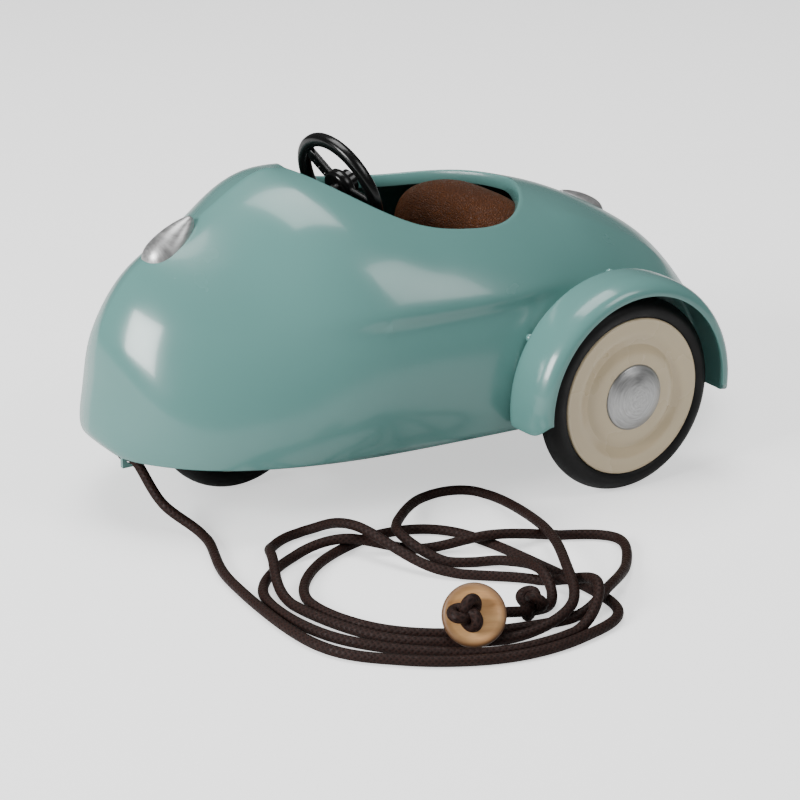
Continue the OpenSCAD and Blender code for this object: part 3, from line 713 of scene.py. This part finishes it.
FENDER_CROWN_R = 24.9
FENDER_LIP_R = 21.9
FENDER_SHOULDER_X = 43.5
FENDER_OUT_X = 49.4
FENDER_START, FENDER_SWEEP = -8, 196    # degrees over the horizon behind the axle
FENDER_STEPS = 88
FENDER_CORNER_X = 45.6      # the lower corners are cut round from here outwards
FENDER_SHEET = 0.9


def fender_section():
    """The section's (x, distance from the axle): the side on the body, crown, shoulder, hem."""
    section = [(29.5, 18.4), (31.5, 19.5), (34.6, 21.4), (37.4, 23.2), (38.3, 23.9)]
    section += [(40.2 - 2.2 * cos(radians(a)), FENDER_CROWN_R - 1.1 * (1 - sin(radians(a))))
                for a in range(36, 91, 9)]
    section += [(41.3, FENDER_CROWN_R + 0.05), (42.4, FENDER_CROWN_R + 0.05)]
    shoulder = FENDER_OUT_X - FENDER_SHOULDER_X
    for k in range(13):
        a = radians(90 - 7.5 * k)
        section.append((FENDER_SHOULDER_X + shoulder * cos(a) ** 0.9,
                        FENDER_LIP_R + (FENDER_CROWN_R - FENDER_LIP_R) * sin(a) ** 0.9))
    section.append((FENDER_OUT_X - 0.05, FENDER_LIP_R - 0.3))
    return section


def make_fender(side, name, node):
    """A band swept round the axle, with its lower corners rounded."""
    section = fender_section()
    points = []
    steps = FENDER_STEPS
    for i in range(steps + 1):
        u = i / steps
        for x, r in section:
            cut = 5.0 * max(0.0, (x - FENDER_CORNER_X) / 3.8) ** 2.4
            phi = radians(FENDER_START + cut + (FENDER_SWEEP - 2 * cut) * u)
            points.append((side * x, REAR_AXLE.y - r * cos(phi), REAR_AXLE.z + r * sin(phi)))
    fender = mesh_object(name, points, grid_faces(steps + 1, len(section)))
    top = max(fender.data.polygons, key=lambda polygon: polygon.center.z)
    if top.normal.z < 0:
        fender.data.flip_normals()
    modifier(fender, "SOLIDIFY", thickness=FENDER_SHEET * MM, offset=-1)
    modifier(fender, "BEVEL", width=0.25 * MM, segments=2, limit_method="ANGLE",
             angle_limit=radians(50))
    active(fender)
    bpy.ops.object.shade_smooth_by_angle(angle=radians(50))
    return finish_piece(fender, "chassis", BODY_ENAMEL, "enamel", node)


make_fender(1, "fender_left_enamel", "fender_left")
make_fender(-1, "fender_right_enamel", "fender_right")

# ---------------------------------------------------------------- lamps


def teardrop(name, round_at, round_r, tip_at, tip_r, material, node):
    """A smooth drop between two balls, as a sweep of rings."""
    a, b = Vector(round_at), Vector(tip_at)
    way = (b - a).normalized()
    aside = Vector((1, 0, 0))
    above = way.cross(aside).normalized()
    length = (b - a).length
    rings, sides = 40, 40
    round_share = 0.35      # the share of the rings on the round end
    points = []
    for i in range(rings + 1):
        u = i / rings
        if u < round_share:
            q = u / round_share
            along_way = -round_r * cos(pi / 2 * q)
            radius = round_r * sin(pi / 2 * q)
        else:
            q = (u - round_share) / (1 - round_share)
            along_way = length * q
            radius = round_r * (1 - q ** 1.5) ** 0.85 + tip_r * q
        for k in range(sides):
            c = 2 * pi * k / sides
            points.append(a + way * along_way
                          + max(radius, 0.01) * (aside * cos(c) + above * sin(c)))
    faces = grid_faces(rings + 1, sides, closed_columns=True)
    faces.append(tuple(rings * sides + k for k in range(sides)))
    drop = mesh_object(name, points, faces)
    return finish_piece(drop, "chassis", material, "silver", node)


teardrop("headlamp_silver", (0, -57.0, 50.7), 4.3, (0, -50.6, 58.3), 0.5,
         silver_paint("headlamp_paint", (0, -0.0573, 0.0504), "Y"), "headlamp")
teardrop("tail_lamp_silver", (0, 47, 44), 3.6, (0, 39.4, 50), 0.4,
         silver_paint("tail_lamp_paint", (0, 0.047, 0.044), "Y"), "tail_lamp")

# ---------------------------------------------------------------- wheels

DISC_SEAT = 2.2             # the disc's inner face, from the wheel's middle plane
DISC_SHEET = 0.6
DISC_HOLE_R = 2.6


def disc_profile(r):
    """A pressed disc: a dished middle, a soft groove and a rolled rim."""
    face = DISC_SEAT + DISC_SHEET
    front = []
    for k in range(49):
        u = k / 48
        radius = DISC_HOLE_R + (r - 0.5 - DISC_HOLE_R) * u
        v = radius / r
        crown = 0.25 * (1 - ease(v, 0.5, 0.66))
        groove = -0.75 * exp(-((v - 0.7) / 0.075) ** 2)
        front.append((radius, face + crown + groove))
    rim = arc(r - 0.5, face - 0.35, 0.45, 80, 0, 5)
    back = [(r, DISC_SEAT), (DISC_HOLE_R, DISC_SEAT)]
    return front + rim + back


def tyre_profile(r):
    """A round tread between two beads, with a flat band under the discs."""
    half = TYRE_W / 2
    bead = r - TYRE_DEPTH
    points = [(bead, -half * 0.72), (bead + 0.25, -half * 0.92)]
    points += arc(r - half, 0, half, -72, 72, 22)
    points += [(bead + 0.25, half * 0.92), (bead, half * 0.72)]
    return points + [(bead - 2.8, DISC_SEAT), (bead - 2.8, -DISC_SEAT)]


def cap_profile():
    """A thin domed hub cap that stands a little off its disc."""
    rise, cap_r, seat, steps = 2.0, 6.9, DISC_SEAT + DISC_SHEET + 0.2, 16
    profile = [(0.01, seat + rise)]
    profile += [(cap_r * k / steps, seat + rise * (1 - (k / steps) ** 2.6))
                for k in range(1, steps)]
    return profile + [(cap_r, seat + 0.1), (cap_r - 0.4, seat - 0.05), (0.01, seat + rise - 0.35)]


def make_wheel(body, prefix, centre, r, side, tyre_node, discs, cap_node):
    place = Matrix.Translation(centre * MM)
    tyre = placed(lathe(prefix + "_tyre_rubber", tyre_profile(r), 128, closed=True), place)
    finish_piece(tyre, body, TYRE_RUBBER, "tyre", tyre_node)
    for facing, node in discs:
        disc = lathe(node + "_enamel", disc_profile(r - TYRE_DEPTH), 128, closed=True)
        if facing < 0:
            placed(disc, Matrix.Scale(-1, 4, Vector((1, 0, 0))))
            disc.data.flip_normals()
        finish_piece(placed(disc, place), body, CREAM, "cream", node)
    if cap_node:
        cap = lathe(prefix + "_hub_cap_silver", cap_profile(), 96)
        if side < 0:
            placed(cap, Matrix.Scale(-1, 4, Vector((1, 0, 0))))
            cap.data.flip_normals()
        paint = silver_paint(prefix + "_cap_paint", tuple(centre * MM), "X")
        finish_piece(placed(cap, place), body, paint, "silver", cap_node)


REAR_R, FRONT_R = 20.4, 17.9
for side, name in ((1, "left"), (-1, "right")):
    body = f"rear_{name}_wheel"
    make_wheel(body, f"rear_{name}", REAR_AXLE + Vector((side * HALF_TRACK, 0, 0)), REAR_R, side,
               f"rear_{name}_tyre",
               ((side, f"rear_{name}_outer_disc"), (-side, f"rear_{name}_inner_disc")),
               f"rear_{name}_hub_cap")
make_wheel("front_wheel", "front", FRONT_AXLE, FRONT_R, 1, "front_tyre",
           ((1, "front_left_disc"), (-1, "front_right_disc")), None)

# ---------------------------------------------------------------- steering wheel

STEERING_CENTRE = Vector((0, -16.5, 59.4))
COLUMN_YAW, COLUMN_RISE = 6, 21
COLUMN = (Matrix.Translation(STEERING_CENTRE * MM) @ Matrix.Rotation(radians(COLUMN_YAW), 4, "Z")
          @ Matrix.Rotation(radians(COLUMN_RISE - 90), 4, "X"))
RIM_R = 12.2
RIM_HALF_W, RIM_HALF_H = 1.35, 1.25
RIM_SQUARENESS = 0.75
SPOKES = (-45, 105, 210)
SPOKE_SIZE = (2.9, 8.4, 1.1)
SPOKE_PLACE = 5.8           # its middle, from the hub's axis
DIMPLES = ((4.4, 0.75), (6.1, 0.65), (7.8, 0.55))   # place along the spoke, radius of the ball
DIMPLE_RISE = 0.95          # the ball's middle, from the spoke's middle plane
# the hub's (radius, height) from its top to its underside
HUB_PROFILE = ((0.01, 1.9), (1.5, 1.85), (2.0, 1.5), (2.4, 1.5), (2.9, 1.35), (3.4, 1.2),
               (3.75, 0.8), (3.8, 0), (3.75, -0.8), (3.4, -1.2), (2.9, -1.35), (2.4, -1.5),
               (2.0, -1.5), (1.3, -1.5))


def make_rim():
    turns, sides = 96, 20
    points = []
    for i in range(turns):
        a = 2 * pi * i / turns
        for k in range(sides):
            c = 2 * pi * k / sides
            r = RIM_R - RIM_HALF_W + RIM_HALF_W * signed_power(cos(c), RIM_SQUARENESS)
            h = RIM_HALF_H * signed_power(sin(c), RIM_SQUARENESS)
            points.append((r * cos(a), r * sin(a), h))
    return mesh_object("steering_wheel_black", points,
                       grid_faces(turns, sides, closed_rows=True, closed_columns=True))


def make_spoke(angle):
    """A flat bar with soft edges and three dimples on each face."""
    bpy.ops.mesh.primitive_cube_add(size=1, location=(0, 0, 0))
    spoke = bpy.context.object
    placed(spoke, Matrix.Diagonal((*(size * MM for size in SPOKE_SIZE), 1)))
    active(spoke)
    bpy.ops.object.mode_set(mode="EDIT")
    bpy.ops.mesh.select_all(action="SELECT")
    bpy.ops.mesh.subdivide(number_cuts=3)
    bpy.ops.object.mode_set(mode="OBJECT")
    placed(spoke, Matrix.Translation((0, SPOKE_PLACE * MM, 0)))
    modifier(spoke, "BEVEL", width=0.3 * MM, segments=3, limit_method="ANGLE",
             angle_limit=radians(60))
    balls = []
    for place, radius in DIMPLES:
        for up in (-1, 1):
            bpy.ops.mesh.primitive_uv_sphere_add(segments=20, ring_count=12, radius=radius * MM,
                                                 location=(0, place * MM, up * DIMPLE_RISE * MM))
            balls.append(bpy.context.object)
    tool = join("dimple_tool", *balls)
    modifier(spoke, "BOOLEAN", operation="DIFFERENCE", object=tool, solver="EXACT")
    bpy.data.objects.remove(tool)
    return placed(spoke, Matrix.Rotation(radians(angle + 180), 4, "Z"))


def make_steering_wheel():
    """A flattened rim, flat dimpled spokes and a stepped round hub."""
    parts = [make_rim()] + [make_spoke(angle) for angle in SPOKES]
    hub = lathe("hub", HUB_PROFILE, 64)
    placed(hub, Matrix.Rotation(radians(-90), 4, "Y"))
    parts.append(hub)
    wheel = join("steering_wheel_black", *parts)
    active(wheel)
    bpy.ops.object.shade_smooth_by_angle(angle=radians(45))
    placed(wheel, COLUMN)
    return finish_piece(wheel, "steering", GLOSS_BLACK, "black_plastic", "steering_wheel")


make_steering_wheel()

# ---------------------------------------------------------------- seat


CLOTH_FRAMES = 20
CLOTH_PRESSURE = 4


def cushion(name, low, high, power, voxel, cap, node, shrink):
    """A stuffed form: a rounded block, swelled by cloth pressure, then smoothed.

    power squares the block off; no point moves by more than cap or leaves the box low to high.
    """
    low, high = Vector(low), Vector(high)
    middle, half = (low + high) / 2, (high - low) / 2 * shrink
    points, n, m = [], 24, 48
    for i in range(n + 1):
        v = -pi / 2 + pi * i / n
        for k in range(m):
            u = 2 * pi * k / m
            out = signed_power(cos(v), power)
            points.append((middle.x + half.x * out * signed_power(cos(u), power),
                           middle.y + half.y * out * signed_power(sin(u), power),
                           middle.z + half.z * signed_power(sin(v), power)))
    pad = mesh_object(name, points, grid_faces(n + 1, m, closed_columns=True))
    modifier(pad, "REMESH", mode="VOXEL", voxel_size=voxel * MM)
    rest = [v.co.copy() for v in pad.data.vertices]
    cloth = pad.modifiers.new("cloth", "CLOTH")
    cloth.settings.use_pressure = True
    cloth.settings.uniform_pressure_force = CLOTH_PRESSURE
    cloth.settings.effector_weights.gravity = 0
    for step in range(1, CLOTH_FRAMES + 1):
        bpy.context.scene.frame_set(step)
    active(pad)
    bpy.ops.object.modifier_apply(modifier=cloth.name)
    bpy.context.scene.frame_set(1)
    for vertex, start in zip(pad.data.vertices, rest):
        moved = vertex.co - start
        if moved.length > cap * MM:
            vertex.co = start + moved.normalized() * cap * MM
        for axis in range(3):
            vertex.co[axis] = min(high[axis] * MM, max(low[axis] * MM, vertex.co[axis]))
    modifier(pad, "SMOOTH", factor=0.5, iterations=6)
    modifier(pad, "SUBSURF", levels=1, render_levels=1)
    for polygon in pad.data.polygons:
        polygon.use_smooth = True
    finish_piece(pad, "chassis", LEATHER, "leather", node)


cushion("seat_cushion_leather", (-22.8, -7.8, 25.1), (22.8, 3.9, 31.9), 0.5, 1.1, 0.5,
        "seat_cushion", 0.9)
cushion("seat_back_leather", (-22.0, 4.9, 25.1), (22.0, 24.6, 54.9), 0.66, 1.2, 0.8,
        "seat_back", 0.97)

# ---------------------------------------------------------------- carried-over CAD nodes

CARRIED = {
    BODY_ENAMEL: ("fender_rivets", "floor_pan", "mounting_tabs", "tow_tab"),
    PLATED: ("floor_screws", "tow_rivet", "rear_axle", "rear_bracket_left", "rear_bracket_right",
             "rear_push_nuts", "front_axle", "front_bracket_left", "front_bracket_right",
             "front_push_nuts", "steering_shaft", "shaft_collar", "column_bracket", "seat_base",
             "seat_rivets"),
    NYLON: ("rear_spacers", "front_spacers", "rear_left_hub", "rear_right_hub", "front_hub",
            "column_bush"),
    GLOSS_BLACK: ("steering_nut",),
}
for material, nodes in CARRIED.items():
    for node in nodes:
        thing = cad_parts[node]
        thing.data.materials.clear()
        thing.data.materials.append(material)

# ---------------------------------------------------------------- floor, light

FLOOR_SIZE = 12
FLOOR_GLOW = 0.9            # emission that only the camera sees, for a white floor in the picture
WORLD_DIFFUSE = 0.38
WORLD_GLOSSY = 0.1
# name, place, the place it aims at, size, power
LAMPS = (
    ("key", (0.06, -0.75, 0.36), (0, -0.03, 0.03), 0.30, 9),
    ("side", (0.50, 0.27, 0.57), (0, 0, 0.03), 0.30, 1.8),
    ("top", (-0.15, 0.0, 0.85), (0, 0, 0.03), 0.5, 6),
)


def make_stage():
    bpy.ops.mesh.primitive_plane_add(size=FLOOR_SIZE, location=(0, 0, 0))
    floor = bpy.context.object
    floor.name = "floor"
    m = Material("floor_white", Roughness=0.7)
    m.set("Base Color", m.mix(m.noise(3, 2), (0.72, 0.72, 0.72), (0.74, 0.74, 0.74)))
    m.set("Specular IOR Level", 0.1)
    m.set("Emission Color", (1.0, 1.0, 1.0))
    seen = m.node("ShaderNodeLightPath").outputs["Is Camera Ray"]
    m.set("Emission Strength", m.maths("MULTIPLY", seen, FLOOR_GLOW))
    floor.data.materials.append(m.data)


def area_light(name, place, aim, size, power):
    """A square lamp, in metres and watts, turned to the place it aims at."""
    data = bpy.data.lights.new(name, "AREA")
    data.energy = power
    data.shape = "SQUARE"
    data.size = size
    lamp = bpy.data.objects.new(name, data)
    lamp.location = place
    lamp.rotation_euler = (Vector(place) - Vector(aim)).to_track_quat("Z", "Y").to_euler()
    bpy.context.scene.collection.objects.link(lamp)


def make_light():
    """A white studio whose walls give less to reflections than to the diffuse light."""
    world = bpy.data.worlds.new("studio")
    bpy.context.scene.world = world
    world.use_nodes = True
    nodes, links = world.node_tree.nodes, world.node_tree.links
    background = nodes["Background"]
    background.inputs["Color"].default_value = (1, 1, 1, 1)
    path = nodes.new("ShaderNodeLightPath")
    strength = nodes.new("ShaderNodeMapRange")
    strength.inputs["To Min"].default_value = WORLD_DIFFUSE
    strength.inputs["To Max"].default_value = WORLD_GLOSSY
    links.new(path.outputs["Is Glossy Ray"], strength.inputs["Value"])
    links.new(strength.outputs["Result"], background.inputs["Strength"])
    for lamp in LAMPS:
        area_light(*lamp)


make_stage()
make_light()
